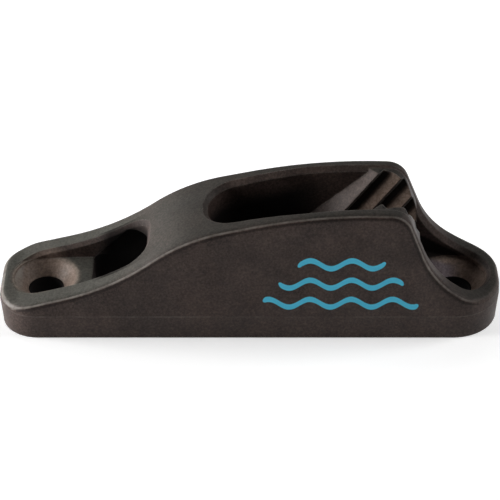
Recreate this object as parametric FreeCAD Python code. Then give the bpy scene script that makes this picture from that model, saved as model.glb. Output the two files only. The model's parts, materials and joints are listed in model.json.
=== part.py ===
import FreeCAD, Part
import math
import os

os.makedirs("parts", exist_ok=True)

Vector = FreeCAD.Vector

# A jam cleat with a fairlead eye: one casting that is screwed down at both ends.
# X runs along the rope (load end at -X), Z is up from the mounting face, all in mm.
# Stations named FROM_LOAD or FROM_TAIL are distances from that end of the body.

# Outer block: a rounded oblong, largest at the parting line, that drafts inwards above and below.
LENGTH = 81.5
WIDTH = 18.2
PARTING_Z = 4.5
DRAFT_DEG = 3.4
LOAD_CORNER_R = 6.25
TAIL_CORNER_R = 7.8
EDGE_R = 1.1

# Side outline as corner points (distance from the end, height, rounding radius).
LOAD_PAD_Z = 5.85
TAIL_PAD_Z = 6.95
CROWN_Z = 24.0
RISE_FROM_LOAD = (
    (2.95, LOAD_PAD_Z, 4.0),
    (18.35, 10.0, 40.0),
    (30.35, 19.15, 29.0),
)
FALL_FROM_TAIL = (
    (30.05, CROWN_Z, 85.0),
    (16.1, 23.55, 3.8),
    (11.35, 11.2, 16.0),
    (4.95, TAIL_PAD_Z, 7.5),
)

# Countersunk holes for M5 screws, at the same distance from both ends.
SCREW_INSET = 7.25
SCREW_HOLE_R = 2.75
SCREW_LAND = 3.3
SEAT_EASE = 0.5

# Recess round the load screw, which runs into the eye.
RECESS_WALL = 4.0
RECESS_FLOOR_Z = 5.8
RECESS_EASE = 0.6
EYE_END_FROM_LOAD = 24.2
EYE_CORNER_R = 3.5

# Rope tunnel under the bridge, open through the base.
TUNNEL_FROM_LOAD = 14.95
TUNNEL_WALL = 3.0
TUNNEL_CORNER_R = 1.5
TUNNEL_LIP_Z = 11.6
TUNNEL_LIP_R = 1.5
TUNNEL_ROOF_R = 2.0
TUNNEL_ROOF_END_Z = 14.6
TUNNEL_PAST_SLOT = 0.4

# Rope way between the rails: narrow at the bridge, widest at the waist, straight at the jaw.
SLOT_FROM_LOAD = 33.95
SLOT_START_WALL = 4.3
SLOT_START_R = 4.6
WAIST_FROM_TAIL = 31.75
WAIST_WALL = 3.5
WAIST_R = 60.0
JAW_WALL_FROM_TAIL = 21.75
JAW_WALL = 3.77
JAW_WALL_R = 20.0
WAY_EASE = 0.82

# V jaw: teeth stand on the rails' inner faces and their crests close to a narrow floor.
JAW_END_FROM_TAIL = 13.75
JAW_FLOOR_Z = 5.6
JAW_FLOOR_HALF = 0.1
JAW_GAUGE_Z = 23.3
TOOTH_HEIGHT = 1.1
TOOTH_TOP_DROP = 0.4

# Saw teeth whose crests slope down towards the load; the first has a broad lead-in flank.
TOOTH_COUNT = 5
TOOTH_PITCH = 4.35
TOOTH_SLOPE_DEG = 49.5
TOOTH_CREST = 0.25
TOOTH_DROP_RUN = 0.35
FIRST_CREST_FROM_TAIL = 23.0
CREST_GAUGE_Z = 20.0
LEAD_IN = 1.75

# Tail pocket round the second screw, with a trough that slopes down from the jaw.
TROUGH_RISE = 1.5
POCKET_END_FROM_TAIL = 2.2

# Reach of cutting solids past the surfaces that they cut.
OVER = 1.0

# Share of a side that the arcs at its two ends may take, and how near counts as touching.
SIDE_SHARE = 0.998
TOUCH = 1e-4

LOAD_END = -LENGTH / 2
TAIL_END = LENGTH / 2
LOAD_SCREW_X = LOAD_END + SCREW_INSET
TAIL_SCREW_X = TAIL_END - SCREW_INSET
SLOT_X = LOAD_END + SLOT_FROM_LOAD
TUNNEL_X = LOAD_END + TUNNEL_FROM_LOAD
TUNNEL_END_X = SLOT_X + TUNNEL_PAST_SLOT
EYE_END_X = LOAD_END + EYE_END_FROM_LOAD
JAW_END_X = TAIL_END - JAW_END_FROM_TAIL
RECESS_HALF = WIDTH / 2 - RECESS_WALL
JAW_WALL_HALF = WIDTH / 2 - JAW_WALL
SEAT_DEPTH = RECESS_FLOOR_Z - SCREW_LAND
SEAT_R = SCREW_HOLE_R + SEAT_DEPTH
CEILING = CROWN_Z + 2 * OVER


def tan_deg(angle):
    return math.tan(math.radians(angle))


def flat(u, v):
    """Plan coordinates to space."""
    return Vector(u, v, 0)


def upright(u, v):
    """Side-view coordinates to space."""
    return Vector(u, 0, v)


def rounded_wire(corners, place):
    """Closed wire through (u, v, radius) corners, each rounded by a tangent arc.

    Two arcs that would overlap on the side between them are made smaller together.
    """
    count = len(corners)
    points = [Vector(u, v, 0) for u, v, radius in corners]
    turns = []
    reaches = []
    for i in range(count):
        back = (points[i - 1] - points[i]).normalize()
        ahead = (points[(i + 1) % count] - points[i]).normalize()
        half = back.getAngle(ahead) / 2
        turns.append((back, ahead, half))
        reaches.append(corners[i][2] / math.tan(half))
    for i in range(count):
        following = (i + 1) % count
        room = SIDE_SHARE * (points[following] - points[i]).Length
        wanted = reaches[i] + reaches[following]
        if wanted > room:
            reaches[i] *= room / wanted
            reaches[following] *= room / wanted
    edges = []
    for i in range(count):
        back, ahead, half = turns[i]
        following = (i + 1) % count
        last = points[i] + ahead * reaches[i]
        if reaches[i] > 0:
            first = points[i] + back * reaches[i]
            radius = reaches[i] * math.tan(half)
            middle = points[i] + (back + ahead).normalize() * (radius / math.sin(half) - radius)
            arc = Part.Arc(place(first.x, first.y), place(middle.x, middle.y), place(last.x, last.y))
            edges.append(arc.toShape())
        start = points[following] + turns[following][0] * reaches[following]
        edges.append(Part.makeLine(place(last.x, last.y), place(start.x, start.y)))
    return Part.Wire(edges)


def side_prism(corners):
    """Solid with the given side outline, wider than the body."""
    face = Part.Face(rounded_wire(corners, upright))
    face.translate(Vector(0, -WIDTH, 0))
    return face.extrude(Vector(0, 2 * WIDTH, 0))


def plan_prism(corners, bottom, top):
    """Solid with the given plan outline between two heights."""
    face = Part.Face(rounded_wire(corners, flat))
    face.translate(Vector(0, 0, bottom))
    return face.extrude(Vector(0, 0, top - bottom))


def mirrored(half_outline):
    """Closed plan outline from its (x, half width, radius) corners on the far side."""
    near = [(u, -v, radius) for u, v, radius in half_outline]
    return near + list(reversed(half_outline))


def side_outline(lowered=0.0):
    """Side view of the body, with its upper edge lowered where asked."""
    start = LOAD_END - OVER
    end = TAIL_END + OVER
    rise = [(LOAD_END + u, z - lowered, radius) for u, z, radius in RISE_FROM_LOAD]
    fall = [(TAIL_END - u, z - lowered, radius) for u, z, radius in FALL_FROM_TAIL]
    left = [(start, -OVER, 0), (start, LOAD_PAD_Z - lowered, 0)]
    right = [(end, TAIL_PAD_Z - lowered, 0), (end, -OVER, 0)]
    return left + rise + fall + right


def oblong(z):
    """Plan outline of the outer block at a height."""
    inset = abs(z - PARTING_Z) * tan_deg(DRAFT_DEG)
    ring = rounded_wire(
        mirrored([
            (LOAD_END + inset, WIDTH / 2 - inset, LOAD_CORNER_R - inset),
            (TAIL_END - inset, WIDTH / 2 - inset, TAIL_CORNER_R - inset),
        ]),
        flat,
    )
    ring.translate(Vector(0, 0, z))
    return ring


def outer_block():
    """Drafted oblong trimmed to the side outline, with its upper rim rounded."""
    lower = Part.makeLoft([oblong(0), oblong(PARTING_Z)], True, True)
    upper = Part.makeLoft([oblong(PARTING_Z), oblong(CEILING)], True, True)
    upper = upper.common(side_prism(side_outline()))
    raised = [edge for edge in upper.Edges if edge.BoundBox.ZMin > LOAD_PAD_Z - OVER]
    upper = upper.makeFillet(EDGE_R, [edge for edge in raised if not is_crosswise(edge)])
    return upper.fuse(lower).Solids[0]


def is_crosswise(edge):
    """True for a straight edge that runs right across the block."""
    return edge.BoundBox.XLength < TOUCH and edge.BoundBox.YLength > WIDTH / 2


def recess_shaft(grow=0.0):
    """Shaft with the plan of the recess and the eye, right through the body."""
    half = RECESS_HALF + grow
    plan = mirrored([
        (LOAD_SCREW_X - half, half, half),
        (EYE_END_X + grow, half, EYE_CORNER_R + grow),
    ])
    return plan_prism(plan, -OVER, CEILING)


def recess_floor():
    """Level floor round the load screw, which ends above the tunnel."""
    length = TUNNEL_X + OVER - LOAD_END
    slab = Part.makeBox(length, WIDTH, RECESS_FLOOR_Z, Vector(LOAD_END, -WIDTH / 2, 0))
    return slab.common(recess_shaft(OVER / 2))


def tunnel():
    """Opening in the base that runs under the bridge and rises to the slot."""
    half = WIDTH / 2 - TUNNEL_WALL
    plan = mirrored([
        (TUNNEL_X, half, TUNNEL_CORNER_R),
        (TUNNEL_END_X, half, TUNNEL_CORNER_R),
    ])
    lip_x = TUNNEL_X + TUNNEL_LIP_Z - RECESS_FLOOR_Z
    side = (
        (TUNNEL_X - OVER, -OVER, 0),
        (TUNNEL_X - OVER, RECESS_FLOOR_Z - OVER, 0),
        (lip_x, TUNNEL_LIP_Z, TUNNEL_LIP_R),
        (EYE_END_X, TUNNEL_LIP_Z, TUNNEL_ROOF_R),
        (TUNNEL_END_X + OVER, TUNNEL_ROOF_END_Z, 0),
        (TUNNEL_END_X + OVER, -OVER, 0),
    )
    return plan_prism(plan, -OVER, CEILING).common(side_prism(side))


def way_shaft(grow=0.0):
    """Shaft with the plan of the space between the rails, from the bridge past the tail screw."""
    half = JAW_WALL_HALF + grow
    plan = mirrored([
        (SLOT_X - grow, WIDTH / 2 - SLOT_START_WALL + grow, SLOT_START_R),
        (TAIL_END - WAIST_FROM_TAIL, WIDTH / 2 - WAIST_WALL + grow, WAIST_R),
        (TAIL_END - JAW_WALL_FROM_TAIL, half, JAW_WALL_R),
        (TAIL_END - POCKET_END_FROM_TAIL + grow, half, half),
    ])
    return plan_prism(plan, -OVER, CEILING)


def rope_way(grow=0.0):
    """Space between the rails above the floor of the jaw and of the tail pocket."""
    side = (
        (LOAD_END, JAW_FLOOR_Z, 0),
        (JAW_END_X, JAW_FLOOR_Z, 0),
        (JAW_END_X, RECESS_FLOOR_Z + TROUGH_RISE, 0),
        (TAIL_SCREW_X, RECESS_FLOOR_Z, 0),
        (TAIL_END, RECESS_FLOOR_Z, 0),
        (TAIL_END, CEILING, 0),
        (LOAD_END, CEILING, 0),
    )
    return way_shaft(grow).common(side_prism(side))


def tail_trough():
    """Trough with sloping sides between the jaw and the tail screw."""
    corners = (
        (-SCREW_HOLE_R, SCREW_LAND, 0),
        (SCREW_HOLE_R, SCREW_LAND, 0),
        (SEAT_R, RECESS_FLOOR_Z, 0),
        (-SEAT_R, RECESS_FLOOR_Z, 0),
    )
    face = Part.Face(rounded_wire(corners, lambda u, v: Vector(TAIL_SCREW_X, u, v)))
    return face.extrude(Vector(JAW_END_X - TAIL_SCREW_X, 0, TROUGH_RISE))


def screw_seat(x):
    """Clearance hole with a 90 degree countersink whose rim is eased to a shallower cone."""
    ease_z = RECESS_FLOOR_Z - SEAT_EASE / 2
    rim = SEAT_R + SEAT_EASE / 2
    corners = (
        (0, -OVER, 0),
        (SCREW_HOLE_R, -OVER, 0),
        (SCREW_HOLE_R, SCREW_LAND, 0),
        (SEAT_R - SEAT_EASE / 2, ease_z, 0),
        (rim, RECESS_FLOOR_Z, 0),
        (rim, RECESS_FLOOR_Z + OVER, 0),
        (0, RECESS_FLOOR_Z + OVER, 0),
    )
    seat = Part.Face(rounded_wire(corners, upright)).revolve(Vector(0, 0, 0), Vector(0, 0, 1), 360)
    seat.translate(Vector(x, 0, 0))
    return seat


def crest_half(z):
    """Half width between the tooth crests at a height."""
    top_half = JAW_WALL_HALF - TOOTH_HEIGHT
    share = (z - JAW_FLOOR_Z) / (JAW_GAUGE_Z - JAW_FLOOR_Z)
    return JAW_FLOOR_HALF + share * (top_half - JAW_FLOOR_HALF)


def jaw_blank():
    """Far half of the jaw before its teeth are cut, set into the rail beside it."""
    corners = (
        (crest_half(JAW_FLOOR_Z - OVER), JAW_FLOOR_Z - OVER, 0),
        (crest_half(CEILING), CEILING, 0),
        (WIDTH, CEILING, 0),
        (WIDTH, JAW_FLOOR_Z - OVER, 0),
    )
    face = Part.Face(rounded_wire(corners, lambda u, v: Vector(SLOT_X, u, v)))
    wedge = face.extrude(Vector(JAW_END_X - SLOT_X, 0, 0))
    inside = side_prism(side_outline(TOOTH_TOP_DROP))
    return wedge.common(inside)


def tooth_cutters():
    """Cutters for the lead-in flank and for the gaps between the teeth of the far half."""
    lean = math.atan((crest_half(CEILING) - crest_half(0)) / CEILING)
    up = Vector(0, math.sin(lean), math.cos(lean))
    out = Vector(0, math.cos(lean), -math.sin(lean))
    run = (Vector(1, 0, 0) + up * (tan_deg(TOOTH_SLOPE_DEG) / math.cos(lean))).normalize()
    across = out.cross(run)
    step = TOOTH_PITCH * abs(across.x)
    first = Vector(TAIL_END - FIRST_CREST_FROM_TAIL, crest_half(CREST_GAUGE_Z), CREST_GAUGE_Z)
    toward_wall = Vector(first.x - LEAD_IN, JAW_WALL_HALF, CREST_GAUGE_Z) - first
    flank_deep = toward_wall.dot(out)
    flank_back = toward_wall.dot(across)
    reach = LENGTH / LEAD_IN
    profiles = [(
        (0, 0),
        (flank_back * reach, flank_deep * reach),
        (flank_back * reach, -OVER),
        (0, -OVER),
    )]
    for i in range(1, TOOTH_COUNT + 1):
        crest = i * step
        drop = crest - step + TOOTH_CREST
        profiles.append((
            (crest, 0),
            (drop + TOOTH_DROP_RUN, TOOTH_HEIGHT),
            (drop, 0),
            (drop, -OVER),
            (crest, -OVER),
        ))
    cutters = []
    for profile in profiles:
        corners = [first - run * LENGTH + across * s + out * d for s, d in profile]
        face = Part.Face(Part.makePolygon(corners + corners[:1]))
        cutters.append(face.extrude(run * (2 * LENGTH)))
    return cutters


def jaw():
    """Both toothed halves of the jaw."""
    far = jaw_blank().cut(tooth_cutters())
    space = rope_way(OVER / 2)
    far = far.common(space)
    return [far, far.mirror(Vector(0, 0, 0), Vector(0, 1, 0))]


def lies_on(shells, edge):
    """True if the middle of the edge lies on one of the shells."""
    middle = edge.valueAt((edge.FirstParameter + edge.LastParameter) / 2)
    return shells.distToShape(Part.Vertex(middle))[0] < TOUCH


def ease_breakout(cut, before, tool, size):
    """Bevels the edges where a tool broke out through the upper surface."""
    old = Part.Compound(before.Shells)
    walls = Part.Compound(tool.Shells)
    raised = [edge for edge in cut.Edges if edge.BoundBox.ZMin > LOAD_PAD_Z - OVER / 2]
    rim = [edge for edge in raised if lies_on(old, edge) and lies_on(walls, edge)]
    return cut.makeChamfer(size, rim)


def cleat():
    block = outer_block()
    body = block
    for tool, size in ((recess_shaft(), RECESS_EASE), (rope_way(), WAY_EASE)):
        body = ease_breakout(body.cut(tool), block, tool, size)
    body = body.fuse(recess_floor())
    load_seat = screw_seat(LOAD_SCREW_X).common(recess_shaft())
    tail_seat = screw_seat(TAIL_SCREW_X).common(way_shaft())
    body = body.cut([tunnel(), load_seat, tail_trough(), tail_seat])
    body = body.fuse(jaw())
    return body.removeSplitter().Solids[0]


solid = cleat()
solid.exportStep("parts/cleat_body.step")
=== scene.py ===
"""Dresses the jam cleat: one hard-anodised casting on a pale floor under soft studio light."""

import json
import logging
import math
from dataclasses import dataclass, field
from enum import Enum
from functools import reduce

import bmesh
import bpy
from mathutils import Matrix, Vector

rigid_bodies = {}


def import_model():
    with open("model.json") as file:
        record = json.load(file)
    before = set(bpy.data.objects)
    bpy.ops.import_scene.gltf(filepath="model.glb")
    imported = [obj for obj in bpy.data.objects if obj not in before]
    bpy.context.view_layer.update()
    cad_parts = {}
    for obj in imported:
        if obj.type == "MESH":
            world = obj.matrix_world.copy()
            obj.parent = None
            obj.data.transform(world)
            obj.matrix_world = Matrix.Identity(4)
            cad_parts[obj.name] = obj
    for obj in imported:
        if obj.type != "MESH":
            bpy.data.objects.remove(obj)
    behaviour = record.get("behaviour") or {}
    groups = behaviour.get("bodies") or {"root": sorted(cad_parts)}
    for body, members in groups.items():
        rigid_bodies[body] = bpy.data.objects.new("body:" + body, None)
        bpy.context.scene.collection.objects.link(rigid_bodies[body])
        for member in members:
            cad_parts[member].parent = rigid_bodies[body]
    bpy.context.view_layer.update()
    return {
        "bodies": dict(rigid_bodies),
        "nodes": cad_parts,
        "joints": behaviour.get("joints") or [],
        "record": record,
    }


LOG = logging.getLogger("cleat")
MM = 0.001

Colour = tuple[float, float, float]
Span = tuple[float, float]
Socket = bpy.types.NodeSocket


def srgb(red: int, green: int, blue: int) -> Colour:
    """Linear colour of an 8-bit display colour.

    Args:
        red: Red level from 0 to 255.
        green: Green level from 0 to 255.
        blue: Blue level from 0 to 255.

    Returns:
        The colour as three linear values.
    """
    levels = [value / 255 for value in (red, green, blue)]
    return tuple(v / 12.92 if v <= 0.04045 else ((v + 0.055) / 1.055) ** 2.4 for v in levels)


class Mixing(Enum):
    """How one colour is laid over another."""

    OVER = "MIX"
    MULTIPLY = "MULTIPLY"


@dataclass
class NodeBoard:
    """A material's node tree with short calls for the nodes that the finishes use."""

    tree: bpy.types.NodeTree

    def add(self, kind: str, **settings: object) -> bpy.types.Node:
        """Adds a node.

        Args:
            kind: The node's type name.
            **settings: Properties set on the node.

        Returns:
            The new node.
        """
        node = self.tree.nodes.new(kind)
        for name, value in settings.items():
            setattr(node, name, value)
        return node

    def join(self, source: Socket | float | Colour, target: Socket) -> None:
        """Links a socket to another, or sets a plain value on it.

        Args:
            source: An output socket, a number or a colour.
            target: The input socket.
        """
        if isinstance(source, bpy.types.NodeSocket):
            self.tree.links.new(source, target)
        elif isinstance(source, tuple) and target.type == "RGBA":
            target.default_value = (*source, 1.0)
        else:
            target.default_value = source

    def math(self, operation: str, first: Socket | float, second: Socket | float = 0.0, clamp: bool = False) -> Socket:
        """Arithmetic on two values.

        Args:
            operation: The operation's name.
            first: The first value.
            second: The second value, unused by operations on one value.
            clamp: True to keep the result between 0 and 1.

        Returns:
            The result's socket.
        """
        node = self.add("ShaderNodeMath", operation=operation, use_clamp=clamp)
        self.join(first, node.inputs[0])
        self.join(second, node.inputs[1])
        return node.outputs[0]

    def times(self, *factors: Socket | float) -> Socket:
        """Product of two values or more."""
        return reduce(lambda product, factor: self.math("MULTIPLY", product, factor), factors)

    def ramp(self, value: Socket, low: float, high: float, start: float = 0.0, end: float = 1.0) -> Socket:
        """Smooth step of a value.

        Args:
            value: The value to map.
            low: The value that gives the start.
            high: The value that gives the end.
            start: The result at and before low.
            end: The result at and after high.

        Returns:
            The mapped value's socket.
        """
        node = self.add("ShaderNodeMapRange", interpolation_type="SMOOTHSTEP")
        self.join(value, node.inputs["Value"])
        for name, number in (("From Min", low), ("From Max", high), ("To Min", start), ("To Max", end)):
            self.join(number, node.inputs[name])
        return node.outputs["Result"]

    def split(self, vector: Socket) -> tuple[Socket, Socket, Socket]:
        """The three parts of a vector.

        Args:
            vector: The vector's socket.

        Returns:
            The sockets of its x, y and z.
        """
        node = self.add("ShaderNodeSeparateXYZ")
        self.join(vector, node.inputs[0])
        return tuple(node.outputs)

    def facing(self) -> tuple[Socket, Socket, Socket]:
        """The x, y and z of the surface's own direction."""
        return self.split(self.add("ShaderNodeNewGeometry").outputs["Normal"])

    def mix(
        self, amount: Socket | float, under: Socket | Colour, over: Socket | Colour, how: Mixing = Mixing.OVER
    ) -> Socket:
        """Lays one colour over another.

        Args:
            amount: How much of the upper colour shows.
            under: The lower colour.
            over: The upper colour.
            how: The way of mixing.

        Returns:
            The mixed colour's socket.
        """
        # A Mix node has its colour sockets at places 6 and 7, and its mixed colour at 2.
        node = self.add("ShaderNodeMix", data_type="RGBA", blend_type=how.value)
        self.join(amount, node.inputs[0])
        self.join(under, node.inputs[6])
        self.join(over, node.inputs[7])
        return node.outputs[2]

    def grey(self, value: Socket) -> Socket:
        """The grey of a value.

        Args:
            value: The value's socket.

        Returns:
            The colour's socket.
        """
        node = self.add("ShaderNodeCombineColor")
        for name in ("Red", "Green", "Blue"):
            self.join(value, node.inputs[name])
        return node.outputs["Color"]

    def band(self, value: Socket, low: float, high: float, soft: float) -> Socket:
        """Mask of a range of values with soft ends.

        Args:
            value: The value's socket.
            low: Lower end of the range.
            high: Upper end of the range.
            soft: Width of each soft end.

        Returns:
            The mask's socket, 1 inside the range.
        """
        after = self.ramp(value, low - soft / 2, low + soft / 2)
        before = self.ramp(value, high + soft / 2, high - soft / 2)
        return self.times(after, before)

    def seen(self) -> Socket:
        """One for rays from the camera and for those that a gloss or a glass sends on, else nought.

        Returns:
            The socket.
        """
        path = self.add("ShaderNodeLightPath").outputs
        total = self.math("ADD", path["Is Camera Ray"], path["Is Glossy Ray"], clamp=True)
        return self.math("ADD", total, path["Is Transmission Ray"], clamp=True)

    def noise(self, place: Socket, size: float, detail: float = 3.0, rough: float = 0.55) -> Socket:
        """Noise with a feature size in metres.

        Args:
            place: The coordinates.
            size: Rough width of one blotch.
            detail: Octaves of finer noise.
            rough: How strong the finer octaves are.

        Returns:
            The noise value's socket.
        """
        node = self.add("ShaderNodeTexNoise")
        self.join(place, node.inputs["Vector"])
        self.join(1.0 / size, node.inputs["Scale"])
        self.join(detail, node.inputs["Detail"])
        self.join(rough, node.inputs["Roughness"])
        return node.outputs["Fac"]


@dataclass(frozen=True)
class WavePrint:
    """Three plain waves in light blue ink, one above the other on the near side wall."""

    ink: Colour = srgb(90, 213, 247)
    centre_x: float = 14.5 * MM
    lowest_z: float = 7.2 * MM
    step_z: float = 3.7 * MM
    lengths: tuple[float, ...] = (25 * MM, 20 * MM, 14 * MM)
    wave: float = 6.6 * MM
    swing: float = 0.75 * MM
    width: float = 1.1 * MM
    soft: float = 0.06 * MM
    ragged_size: float = 0.3 * MM
    side_y: float = -7.2 * MM
    cover: float = 0.96

    def mask(self, board: NodeBoard, place: Socket) -> Socket:
        """Where the ink lies.

        Args:
            board: The node tree.
            place: Object coordinates.

        Returns:
            The mask's socket, 1 on the ink.
        """
        x, y, z = board.split(place)
        from_centre = board.math("SUBTRACT", x, self.centre_x)
        phase = board.times(from_centre, 2 * math.pi / self.wave)
        swing = board.times(board.math("SINE", phase), self.swing)
        ragged = board.times(board.noise(place, self.ragged_size, detail=1.0), self.soft)
        inked: Socket | float = 0.0
        for row, length in enumerate(self.lengths):
            level = board.math("ADD", swing, self.lowest_z + row * self.step_z)
            rise = board.math("SUBTRACT", z, level)
            past = board.math("SUBTRACT", board.math("ABSOLUTE", from_centre), (length - self.width) / 2)
            past = board.math("MAXIMUM", past, 0.0)
            away = board.math("SQRT", board.math("ADD", board.math("POWER", past, 2.0), board.math("POWER", rise, 2.0)))
            away = board.math("ADD", away, ragged)
            line = board.ramp(away, self.width / 2 + self.soft, self.width / 2 - self.soft)
            inked = board.math("MAXIMUM", inked, line)
        near_side = board.math("LESS_THAN", y, self.side_y)
        return board.times(inked, near_side)


@dataclass(frozen=True)
class ScrewMarks:
    """Painted light on the seats and painted shade in the bores of the two countersunk screws."""

    screw_x: float = 33.5 * MM
    bore_wall: Span = (2.95 * MM, 2.85 * MM)
    seat_starts: Span = (2.8 * MM, 3.0 * MM)
    seat_fades: Span = (6.2 * MM, 4.6 * MM)
    load_to_tail_x: Span = (0.0, 1 * MM)
    seat_strength: Span = (0.45, 0.6)
    tail_seat_top: Span = (6.6 * MM, 6.0 * MM)
    edges_return: Span = (6.2 * MM, 6.8 * MM)

    def reach(self, board: NodeBoard, place: Socket) -> Socket:
        """Distance from the nearer screw's axis.

        Args:
            board: The node tree.
            place: Object coordinates.

        Returns:
            The distance's socket.
        """
        x, y, _ = board.split(place)
        along = board.math("SUBTRACT", board.math("ABSOLUTE", x), self.screw_x)
        return board.math("SQRT", board.math("ADD", board.math("POWER", along, 2.0), board.math("POWER", y, 2.0)))

    def seats(self, board: NodeBoard, place: Socket) -> Socket:
        """Mask of the painted light on the screws' seat cones.

        Args:
            board: The node tree.
            place: Object coordinates.

        Returns:
            The mask's socket.
        """
        x, _, z = board.split(place)
        reach = self.reach(board, place)
        strength = board.ramp(x, *self.load_to_tail_x, *self.seat_strength)
        cones = board.times(board.ramp(reach, *self.seat_starts), board.ramp(reach, *self.seat_fades), strength)
        load_half = board.math("LESS_THAN", x, 0.0)
        return board.times(cones, board.math("MAXIMUM", load_half, board.ramp(z, *self.tail_seat_top)))

    def bores(self, board: NodeBoard, place: Socket) -> Socket:
        """Mask of the painted shade in the through holes."""
        return board.ramp(self.reach(board, place), *self.bore_wall)

    def off_seats(self, board: NodeBoard, place: Socket) -> Socket:
        """Mask of all that lies outside the seats."""
        return board.ramp(self.reach(board, place), *self.edges_return)


@dataclass(frozen=True)
class JawMarks:
    """Painted shadow behind the ridges and painted light on their sides that face the left lamp, on the two ridged
    faces, and painted light in a lilac-grey in the trough past them.
    """

    slope: float = 49.5
    pitch: float = 4.35 * MM
    first_crest_x: float = 17.75 * MM
    gauge_z: float = 20.0 * MM
    span_x: Span = (3 * MM, 27 * MM)
    span_soft: float = 2 * MM
    faces_y: Span = (5.4 * MM, 5.1 * MM)
    foot_z: Span = (8 * MM, 14 * MM)
    # Where the painted shadow behind each crest starts and ends within a pitch.
    shadow_starts: Span = (0.03, 0.08)
    shadow_ends: Span = (0.66, 0.46)
    first_crest: Span = (0.0, 0.05)
    root_shadow: float = 0.95
    # Outward lean towards the left lamp that gets the painted light.
    faces_left_lamp: Span = (0.0, -0.3)
    lead_in_ends: Span = (0.05, 0.2)
    lead_in_light: float = 0.04
    trough_x: Span = (27 * MM, 34 * MM)
    trough_soft: float = 3 * MM
    trough_y: Span = (4.8 * MM, 4.0 * MM)
    trough_top: Span = (11 * MM, 8 * MM)
    trough_light: float = 0.7

    def faces(self, board: NodeBoard, place: Socket) -> Socket:
        """Mask of the two ridged faces.

        Args:
            board: The node tree.
            place: Object coordinates.

        Returns:
            The mask's socket.
        """
        x, y, z = board.split(place)
        along = board.band(x, *self.span_x, self.span_soft)
        inside = board.ramp(board.math("ABSOLUTE", y), *self.faces_y)
        return board.times(along, inside, board.ramp(z, *self.foot_z))

    def count(self, board: NodeBoard, place: Socket) -> Socket:
        """Number of pitches past the first ridge's crest, measured along the slanting ridges' row.

        Args:
            board: The node tree.
            place: Object coordinates.

        Returns:
            The number's socket, whole on each crest.
        """
        x, _, z = board.split(place)
        above = board.math("SUBTRACT", z, self.gauge_z)
        lean = board.times(above, 1 / math.tan(math.radians(self.slope)))
        past = board.math("SUBTRACT", board.math("SUBTRACT", x, lean), self.first_crest_x)
        return board.times(past, 1 / self.pitch)

    def roots(self, board: NodeBoard, place: Socket) -> Socket:
        """Mask of the painted shadow behind each ridge, from its crest down to the root.

        Args:
            board: The node tree.
            place: Object coordinates.

        Returns:
            The mask's socket.
        """
        count = self.count(board, place)
        part = board.math("FRACT", count)
        starts, ends = board.ramp(part, *self.shadow_starts), board.ramp(part, *self.shadow_ends)
        behind = board.times(starts, ends, board.ramp(count, *self.first_crest))
        return board.times(self.faces(board, place), behind, self.root_shadow)

    def painted_light(self, board: NodeBoard, place: Socket) -> Socket:
        """Mask of the painted light on the ridges' sides that face the left lamp.

        Args:
            board: The node tree.
            place: Object coordinates.

        Returns:
            The mask's socket.
        """
        side, _, _ = board.facing()
        past_first = board.ramp(self.count(board, place), *self.lead_in_ends, self.lead_in_light, 1.0)
        return board.times(self.faces(board, place), board.ramp(side, *self.faces_left_lamp), past_first)

    def trough(self, board: NodeBoard, place: Socket) -> Socket:
        """Mask of the painted light, in a lilac-grey, in the trough past the ridges.

        Args:
            board: The node tree.
            place: Object coordinates.

        Returns:
            The mask's socket.
        """
        x, y, z = board.split(place)
        along = board.band(x, *self.trough_x, self.trough_soft)
        inside = board.ramp(board.math("ABSOLUTE", y), *self.trough_y)
        return board.times(along, inside, board.ramp(z, *self.trough_top, 0.0, self.trough_light))


@dataclass(frozen=True)
class PassageMarks:
    """Painted shade far inside the eye, the tunnel and the slot, and on the tail pocket's walls."""

    floor_end_x: Span = (-26.1 * MM, -25.5 * MM)
    floor_z: Span = (5.9 * MM, 5.6 * MM)
    eye_x: Span = (-25.8 * MM, -22.8 * MM)
    slot_fades_x: Span = (15 * MM, 6 * MM)
    walls_y: Span = (6.4 * MM, 6.1 * MM)
    crown_rise: float = 0.28
    crown_z: float = 19.5 * MM
    crown_fades: Span = (0.0, -3.5 * MM)
    pocket_x: Span = (26 * MM, 35.5 * MM)
    pocket_soft: float = 2 * MM
    pocket_walls_y: Span = (4.5 * MM, 6.2 * MM)
    pocket_wall_soft: float = 0.4 * MM
    fall: float = 0.6
    fall_z: float = 27.5 * MM
    fall_fades: Span = (0.0, -0.8 * MM)
    pocket_floor_z: Span = (5.9 * MM, 6.2 * MM)
    pocket_shade: float = 0.9

    def cored(self, board: NodeBoard, place: Socket) -> Socket:
        """Mask of the painted shade in the eye, the tunnel and the lower slot.

        Args:
            board: The node tree.
            place: Object coordinates.

        Returns:
            The mask's socket.
        """
        x, y, z = board.split(place)
        under_floor = board.times(board.ramp(x, *self.floor_end_x), board.ramp(z, *self.floor_z))
        past_floor = board.ramp(x, *self.eye_x)
        along = board.times(board.math("MAXIMUM", under_floor, past_floor), board.ramp(x, *self.slot_fades_x))
        inside = board.ramp(board.math("ABSOLUTE", y), *self.walls_y)
        crown = board.math("ADD", board.times(x, self.crown_rise), self.crown_z)
        return board.times(along, inside, board.ramp(board.math("SUBTRACT", z, crown), *self.crown_fades))

    def pocket_walls(self, board: NodeBoard, place: Socket) -> Socket:
        """Mask of the painted shade on the tail pocket's two upright walls.

        Args:
            board: The node tree.
            place: Object coordinates.

        Returns:
            The mask's socket.
        """
        x, y, z = board.split(place)
        along = board.band(x, *self.pocket_x, self.pocket_soft)
        walls = board.band(board.math("ABSOLUTE", y), *self.pocket_walls_y, self.pocket_wall_soft)
        crown = board.math("SUBTRACT", self.fall_z, board.times(x, self.fall))
        below = board.ramp(board.math("SUBTRACT", z, crown), *self.fall_fades)
        above_floor = board.ramp(z, *self.pocket_floor_z, 0.0, self.pocket_shade)
        return board.times(along, walls, board.times(below, above_floor))


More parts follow.
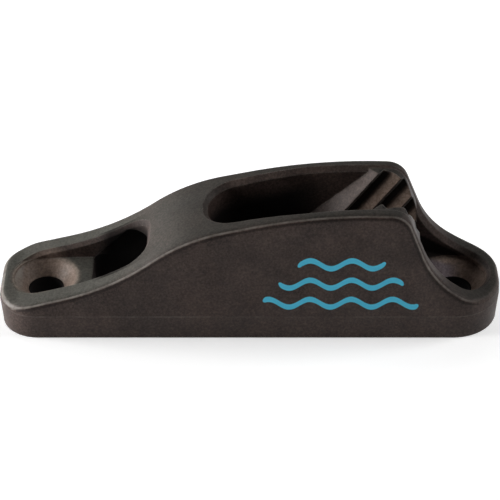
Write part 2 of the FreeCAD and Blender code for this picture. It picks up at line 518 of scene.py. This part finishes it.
@dataclass(frozen=True)
class RimMarks:
    """Paled rounding of the outer rim, from scuffing and a painted highlight, with a painted shade hairline under it.

    A lean is 0 for a level face and 1 for an upright one.
    """

    rounding_up: Span = (0.05, 0.12)
    hairline_lean: Span = (0.84, 0.975)
    hairline_soft: float = 0.04
    hairline: float = 0.55
    end_x: Span = (37 * MM, 38 * MM)
    end_lean: Span = (0.45, 0.85)
    end_soft: float = 0.15
    end_up: Span = (0.2, 0.4)
    side_y: Span = (7.4 * MM, 7.7 * MM)
    side_lean: Span = (0.58, 0.78)
    side_soft: float = 0.1
    patch_size: float = 1.6 * MM
    patch_range: Span = (0.25, 0.7)
    patch_level: Span = (0.35, 1.0)
    load_side_x: Span = (-5 * MM, -36 * MM)
    load_side_level: Span = (0.6, 1.0)
    jaw_end_x: Span = (22 * MM, 31 * MM)
    jaw_end_soft: float = 6 * MM
    tail_x: Span = (33 * MM, 38 * MM)
    tail_level: Span = (1.0, 0.2)

    def rounding(self, board: NodeBoard, lean: Span, soft: float) -> Socket:
        """Mask of a strip along the rim's rounding.

        Args:
            board: The node tree.
            lean: Least and greatest outward lean of the strip.
            soft: Width of the strip's soft sides.

        Returns:
            The mask's socket.
        """
        _, across, up = board.facing()
        strip = board.band(board.math("ABSOLUTE", across), *lean, soft)
        return board.times(strip, board.ramp(up, *self.rounding_up))

    def below(self, board: NodeBoard) -> Socket:
        """Mask of the painted shade hairline under the outer rim."""
        return board.times(self.rounding(board, self.hairline_lean, self.hairline_soft), self.hairline)

    def wear_and_highlight(self, board: NodeBoard, place: Socket) -> Socket:
        """Mask of the outer rim, where handling has paled the skin and a painted highlight lies.

        Args:
            board: The node tree.
            place: Object coordinates.

        Returns:
            The mask's socket, 0 on flat faces and up to 1 on the rim.
        """
        side, _, up = board.facing()
        x, y, _ = board.split(place)
        at_end = board.ramp(board.math("ABSOLUTE", x), *self.end_x)
        end_strip = board.band(board.math("ABSOLUTE", side), *self.end_lean, self.end_soft)
        end_rim = board.times(end_strip, at_end, board.ramp(up, *self.end_up))
        at_side = board.ramp(board.math("ABSOLUTE", y), *self.side_y)
        long_rim = board.times(self.rounding(board, self.side_lean, self.side_soft), at_side)
        patch = board.ramp(board.noise(place, self.patch_size, detail=4.0), *self.patch_range, *self.patch_level)
        load_side = board.ramp(x, *self.load_side_x, *self.load_side_level)
        # The rim's painted highlight is strongest towards the load end, by the left lamp, and at the jaw's end; it
        # fades at the tail.
        lit_and_handled = board.math("MAXIMUM", load_side, board.band(x, *self.jaw_end_x, self.jaw_end_soft))
        lit_and_handled = board.times(lit_and_handled, board.ramp(x, *self.tail_x, *self.tail_level))
        return board.times(board.math("MAXIMUM", end_rim, long_rim), patch, lit_and_handled)


@dataclass(frozen=True)
class AnodisedSkin:
    """Dark hard-anodised skin of a casting: mottled and grainy, paler on its parting line and its scuffed rims, with a
    painted highlight on the rims, painted sheen on faces that look up, and painted light and shade in its hollows and
    on its ridges.
    """

    dark: Colour = srgb(46, 37, 34)
    pale: Colour = srgb(77, 64, 59)
    # Pale grey of the painted sheen on faces that look up, and its thinner form past the recess.
    painted_sheen: Colour = srgb(76, 77, 71)
    thin_painted_sheen: Colour = srgb(43, 44, 40)
    # Pale brown of the painted light on the ridges' lamp-facing sides and on the screws' seats.
    painted_light: Colour = srgb(168, 146, 131)
    # Near-black of the painted shade and painted shadow.
    painted_shade: Colour = srgb(13, 8, 7)
    # Lilac-grey of the painted light in the trough.
    lit_violet: Colour = srgb(104, 96, 106)
    # Pale grey of the scuffed skin, the parting line and the rims' painted highlight.
    worn_and_highlight: Colour = srgb(136, 130, 123)
    roughness: float = 0.5
    specular: float = 0.18
    cloud_size: float = 5 * MM
    cloud_range: Span = (0.3, 0.7)
    cloud_swing: float = 0.06
    worn_polish: float = 0.08
    shade_matt: float = 0.45
    sheen_matt: float = 0.25
    blotch_size: float = 6 * MM
    blotch_range: Span = (0.3, 0.7)
    blotch_share: float = 0.55
    speck_size: float = 0.35 * MM
    speck_range: Span = (0.35, 0.65)
    speckle_size: float = 0.4 * MM
    speckle_range: Span = (0.3, 0.7)
    speckle_tone: Span = (0.74, 1.28)
    sheen_up: Span = (0.6, 0.95)
    sheen_cover: float = 0.7
    sheen_thins_x: Span = (-18 * MM, -8 * MM)
    light_patch_size: float = 1.2 * MM
    light_patch_range: Span = (0.25, 0.75)
    light_patch: Span = (0.65, 1.0)
    wear_and_highlight_cover: float = 0.85
    edge_radius: float = 0.4 * MM
    edge_turn: Span = (0.99, 0.88)
    edge_patch_size: float = 1.8 * MM
    edge_patch_range: Span = (0.3, 0.75)
    edge_patch: Span = (0.1, 0.8)
    parting_z: float = 4.5 * MM
    parting_line: Span = (0.16 * MM, 0.04 * MM)
    parting_patch_size: float = 3 * MM
    parting_patch_range: Span = (0.4, 0.7)
    parting_patch: Span = (0.05, 0.22)
    grain_size: float = 0.3 * MM
    grain_depth: float = 0.03 * MM
    grain_strength: float = 0.35
    bevel_samples: int = 6
    print: WavePrint = field(default_factory=WavePrint)
    screws: ScrewMarks = field(default_factory=ScrewMarks)
    jaw: JawMarks = field(default_factory=JawMarks)
    passages: PassageMarks = field(default_factory=PassageMarks)
    rims: RimMarks = field(default_factory=RimMarks)

    def material(self) -> bpy.types.Material:
        """Builds the finish.

        Returns:
            The new material.
        """
        made = bpy.data.materials.new("hard_anodised")
        made.use_nodes = True
        board = NodeBoard(made.node_tree)
        shader = made.node_tree.nodes["Principled BSDF"]
        place = board.add("ShaderNodeTexCoord").outputs["Object"]
        looking_up = self.looking_up(board)
        painted_shade_places = self.painted_shade_places(board, place)
        wear_and_highlight = self.wear_and_highlight(board, place, painted_shade_places)
        # Painted sheen: a pale grey over the mottle on faces that look up, thinner past the recess.
        colour = board.mix(looking_up, self.mottle(board, place), self.painted_sheen_colour(board, place))
        # Painted light: a pale brown on the ridges' sides that face the left lamp and on the screws' seat cones.
        colour = board.mix(self.painted_light_on_ridges_and_seats(board, place), colour, self.painted_light)
        # Painted shadow behind each ridge's crest.
        colour = board.mix(self.jaw.roots(board, place), colour, self.painted_shade)
        # Painted light in a lilac-grey, stronger low in the trough.
        colour = board.mix(self.jaw.trough(board, place), colour, self.lit_violet)
        # Painted shade in the passages, the screws' bores and the tail pocket's walls.
        colour = board.mix(painted_shade_places, colour, self.painted_shade)
        # Painted shade: a dark hairline under the outer rim.
        colour = board.mix(self.rims.below(board), colour, self.painted_shade)
        specks = board.noise(place, self.speckle_size, rough=0.7)
        speckle = board.ramp(specks, *self.speckle_range, *self.speckle_tone)
        colour = board.mix(1.0, colour, board.grey(speckle), Mixing.MULTIPLY)
        # Paler colour on scuffed edges and rims, and a painted highlight along the rims.
        colour = board.mix(board.times(wear_and_highlight, self.wear_and_highlight_cover), colour, self.worn_and_highlight)
        parting = board.times(self.parting(board, place), board.math("SUBTRACT", 1.0, painted_shade_places))
        colour = board.mix(parting, colour, self.worn_and_highlight)
        inked = board.times(self.print.mask(board, place), self.print.cover)
        colour = board.mix(inked, colour, self.print.ink)
        board.join(colour, shader.inputs["Base Color"])
        board.join(self.gloss(board, place, wear_and_highlight, painted_shade_places, looking_up), shader.inputs["Roughness"])
        shader.inputs["Metallic"].default_value = 0.0
        shader.inputs["Specular IOR Level"].default_value = self.specular
        board.join(self.grain(board, place), shader.inputs["Normal"])
        return made

    def gloss(self, board: NodeBoard, place: Socket, wear_and_highlight: Socket, painted_shade_places: Socket, looking_up: Socket) -> Socket:
        """Roughness: cloudy, smoother where scuffed and on the rims' painted highlight, matt in the passages' painted
        shade and under the painted sheen.

        Args:
            board: The node tree.
            place: Object coordinates.
            wear_and_highlight: Mask of the scuffed rims and edges and of the rims' painted highlight.
            painted_shade_places: Mask of the passages' painted shade.
            looking_up: Mask of the faces with painted sheen.

        Returns:
            The roughness's socket.
        """
        smooth, rough = self.roughness - self.cloud_swing, self.roughness + self.cloud_swing
        cloud = board.ramp(board.noise(place, self.cloud_size), *self.cloud_range, smooth, rough)
        gloss = board.math("SUBTRACT", cloud, board.times(wear_and_highlight, self.worn_polish))
        gloss = board.math("ADD", gloss, board.times(painted_shade_places, self.shade_matt))
        return board.math("ADD", gloss, board.times(looking_up, self.sheen_matt))

    def mottle(self, board: NodeBoard, place: Socket) -> Socket:
        """Soft blotches with a fine speckle.

        Args:
            board: The node tree.
            place: Object coordinates.

        Returns:
            The colour's socket.
        """
        blotch = board.ramp(board.noise(place, self.blotch_size, detail=4.0, rough=0.6), *self.blotch_range)
        speck = board.ramp(board.noise(place, self.speck_size, detail=2.0, rough=0.6), *self.speck_range)
        share = self.blotch_share
        amount = board.math("ADD", board.times(blotch, share), board.times(speck, 1 - share))
        return board.mix(amount, self.dark, self.pale)

    def looking_up(self, board: NodeBoard) -> Socket:
        """Mask of the faces that look up, which carry a painted sheen of pale grey."""
        _, _, up = board.facing()
        return board.ramp(up, *self.sheen_up, 0.0, self.sheen_cover)

    def painted_sheen_colour(self, board: NodeBoard, place: Socket) -> Socket:
        """Colour of the painted sheen, which thins past the recess."""
        x, _, _ = board.split(place)
        return board.mix(board.ramp(x, *self.sheen_thins_x), self.painted_sheen, self.thin_painted_sheen)

    def painted_light_on_ridges_and_seats(self, board: NodeBoard, place: Socket) -> Socket:
        """Mask of the painted light on the ridges' sides that face the left lamp and on the screws' seat cones.

        Args:
            board: The node tree.
            place: Object coordinates.

        Returns:
            The mask's socket.
        """
        marks = board.math("MAXIMUM", self.jaw.painted_light(board, place), self.screws.seats(board, place))
        patch = board.ramp(board.noise(place, self.light_patch_size), *self.light_patch_range, *self.light_patch)
        return board.times(marks, patch)

    def painted_shade_places(self, board: NodeBoard, place: Socket) -> Socket:
        """Mask of the painted shade in the passages, the screws' bores and the tail pocket's walls."""
        holes = board.math("MAXIMUM", self.passages.cored(board, place), self.screws.bores(board, place))
        return board.math("MAXIMUM", holes, self.passages.pocket_walls(board, place))

    def wear_and_highlight(self, board: NodeBoard, place: Socket, painted_shade_places: Socket) -> Socket:
        """Mask of the scuffed rims and edges and of the rims' painted highlight, none of them in the passages' painted
        shade.

        Args:
            board: The node tree.
            place: Object coordinates.
            painted_shade_places: Mask of the passages' painted shade.

        Returns:
            The mask's socket.
        """
        wear_and_highlight = board.math("MAXIMUM", self.rims.wear_and_highlight(board, place), self.sharp_edges(board, place))
        return board.times(wear_and_highlight, board.math("SUBTRACT", 1.0, painted_shade_places))

    def sharp_edges(self, board: NodeBoard, place: Socket) -> Socket:
        """Mask of the sharper edges of the teeth, rims and holes.

        Args:
            board: The node tree.
            place: Object coordinates.

        Returns:
            The mask's socket, 0 on flat faces and up to 1 on edges.
        """
        dot = board.add("ShaderNodeVectorMath", operation="DOT_PRODUCT")
        board.join(self.softened(board), dot.inputs[0])
        board.join(board.add("ShaderNodeNewGeometry").outputs["Normal"], dot.inputs[1])
        edge = board.ramp(dot.outputs["Value"], *self.edge_turn)
        patch = board.ramp(board.noise(place, self.edge_patch_size), *self.edge_patch_range, *self.edge_patch)
        return board.times(edge, patch, self.screws.off_seats(board, place))

    def parting(self, board: NodeBoard, place: Socket) -> Socket:
        """Mask of the faint pale line where the halves of the mould met.

        Args:
            board: The node tree.
            place: Object coordinates.

        Returns:
            The mask's socket.
        """
        _, _, z = board.split(place)
        away = board.math("ABSOLUTE", board.math("SUBTRACT", z, self.parting_z))
        patch = board.noise(place, self.parting_patch_size)
        broken = board.ramp(patch, *self.parting_patch_range, *self.parting_patch)
        return board.times(board.ramp(away, *self.parting_line), broken)

    def softened(self, board: NodeBoard) -> Socket:
        """The surface's direction with its edges rounded a little.

        Args:
            board: The node tree.

        Returns:
            The direction's socket.
        """
        bevel = board.add("ShaderNodeBevel", samples=self.bevel_samples)
        bevel.inputs["Radius"].default_value = self.edge_radius
        return bevel.outputs["Normal"]

    def grain(self, board: NodeBoard, place: Socket) -> Socket:
        """Fine cast grain over edges that are softened a little.

        Args:
            board: The node tree.
            place: Object coordinates.

        Returns:
            The direction's socket.
        """
        bump = board.add("ShaderNodeBump")
        bump.inputs["Strength"].default_value = self.grain_strength
        bump.inputs["Distance"].default_value = self.grain_depth
        board.join(board.noise(place, self.grain_size), bump.inputs["Height"])
        board.join(self.softened(board), bump.inputs["Normal"])
        return bump.outputs["Normal"]


@dataclass
class CleatBody:
    """The casting itself, which keeps its shape and gets its finish."""

    node: str = "cleat_body"
    skin: AnodisedSkin = field(default_factory=AnodisedSkin)

    def build(self, frame: dict) -> bpy.types.Object:
        """Dresses the casting.

        Args:
            frame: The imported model.

        Returns:
            The casting's object.
        """
        body = frame["nodes"][self.node]
        material = self.skin.material()
        body.data.materials.clear()
        body.data.materials.append(material)
        return body


@dataclass(frozen=True)
class FloorPaper:
    """Matt white paper, lifted to plain white where no shadow lies."""

    white: float = 0.95
    lift: float = 0.42
    roughness: float = 0.9
    specular: float = 0.1

    def material(self) -> bpy.types.Material:
        """Builds the finish.

        Returns:
            The new material.
        """
        made = bpy.data.materials.new("floor_paper")
        made.use_nodes = True
        board = NodeBoard(made.node_tree)
        shader = made.node_tree.nodes["Principled BSDF"]
        board.join((self.white,) * 3, shader.inputs["Base Color"])
        board.join((1.0, 1.0, 1.0), shader.inputs["Emission Color"])
        shader.inputs["Roughness"].default_value = self.roughness
        shader.inputs["Specular IOR Level"].default_value = self.specular
        board.join(board.times(board.seen(), self.lift), shader.inputs["Emission Strength"])
        return made


@dataclass(frozen=True)
class Lamp:
    """A square soft lamp that is aimed at the cleat.

    Its level is how bright a white face turned to the lamp renders.
    """

    name: str
    place: tuple[float, float, float]
    size: float
    level: float

    def build(self, aim: Vector) -> bpy.types.Object:
        """Hangs the lamp.

        Args:
            aim: The point that it faces.

        Returns:
            The lamp's object.
        """
        toward = aim - Vector(self.place)
        data = bpy.data.lights.new(self.name, "AREA")
        data.size = self.size
        data.energy = self.level * (math.pi * toward.length) ** 2
        lamp = bpy.data.objects.new(self.name, data)
        bpy.context.collection.objects.link(lamp)
        lamp.location = self.place
        lamp.rotation_euler = toward.to_track_quat("-Z", "Y").to_euler()
        return lamp


@dataclass
class Studio:
    """Pale floor, soft lamps round the cleat, dim surroundings and the camera."""

    aim: Vector = field(default_factory=lambda: Vector((0.0, 0.0, 11.13 * MM)))
    elevation: float = 37.0
    distance: float = 327.2 * MM
    lens: float = 145.1
    film_width: float = 36.0
    nearest: float = 10 * MM
    floor_half: float = 1.5
    floor_drop: float = 0.05 * MM
    surroundings: float = 0.02
    lamps: tuple[Lamp, ...] = (
        Lamp("lamp_left", (-0.50, -0.01, 0.11), 0.26, 1.8),
        Lamp("lamp_back_left", (-0.34, 0.42, 0.22), 0.30, 0.20),
        Lamp("lamp_back", (0.12, 0.48, 0.30), 0.35, 0.14),
        Lamp("lamp_right", (0.40, 0.03, 0.33), 0.26, 0.5),
    )

    def build(self) -> None:
        """Makes the floor, the lamps, the world and the camera."""
        self.floor()
        for lamp in self.lamps:
            lamp.build(self.aim)
        self.world()
        self.camera()

    def floor(self) -> bpy.types.Object:
        """Flat pale floor.

        Returns:
            The floor's object.
        """
        shape = bmesh.new()
        bmesh.ops.create_grid(shape, x_segments=1, y_segments=1, size=self.floor_half)
        bmesh.ops.translate(shape, vec=(0.0, 0.0, -self.floor_drop), verts=shape.verts)
        mesh = bpy.data.meshes.new("floor")
        shape.to_mesh(mesh)
        shape.free()
        floor = bpy.data.objects.new("floor", mesh)
        bpy.context.collection.objects.link(floor)
        mesh.materials.append(FloorPaper().material())
        return floor

    def world(self) -> None:
        """Dim plain surroundings above the floor."""
        world = bpy.data.worlds.new("studio")
        bpy.context.scene.world = world
        world.use_nodes = True
        background = world.node_tree.nodes["Background"]
        background.inputs["Color"].default_value = (1.0, 1.0, 1.0, 1.0)
        background.inputs["Strength"].default_value = self.surroundings

    def camera(self) -> bpy.types.Object:
        """The camera at the photograph's place.

        Returns:
            The camera's object.
        """
        data = bpy.data.cameras.new("camera")
        data.lens = self.lens
        data.sensor_width = self.film_width
        data.clip_start = self.nearest
        camera = bpy.data.objects.new("camera", data)
        bpy.context.collection.objects.link(camera)
        angle = math.radians(self.elevation)
        back = Vector((0.0, -math.cos(angle), math.sin(angle)))
        camera.location = self.aim + back * self.distance
        camera.rotation_euler = (-back).to_track_quat("-Z", "Y").to_euler()
        bpy.context.scene.camera = camera
        return camera


def main() -> None:
    """Builds the dressed cleat and its studio."""
    logging.basicConfig(level=logging.INFO)
    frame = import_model()
    body = CleatBody().build(frame)
    LOG.info("dressed %s", body.name)
    Studio().build()
    LOG.info("studio ready")
    bpy.context.scene.view_settings.view_transform = "Standard"


if __name__ == "__main__":
    main()
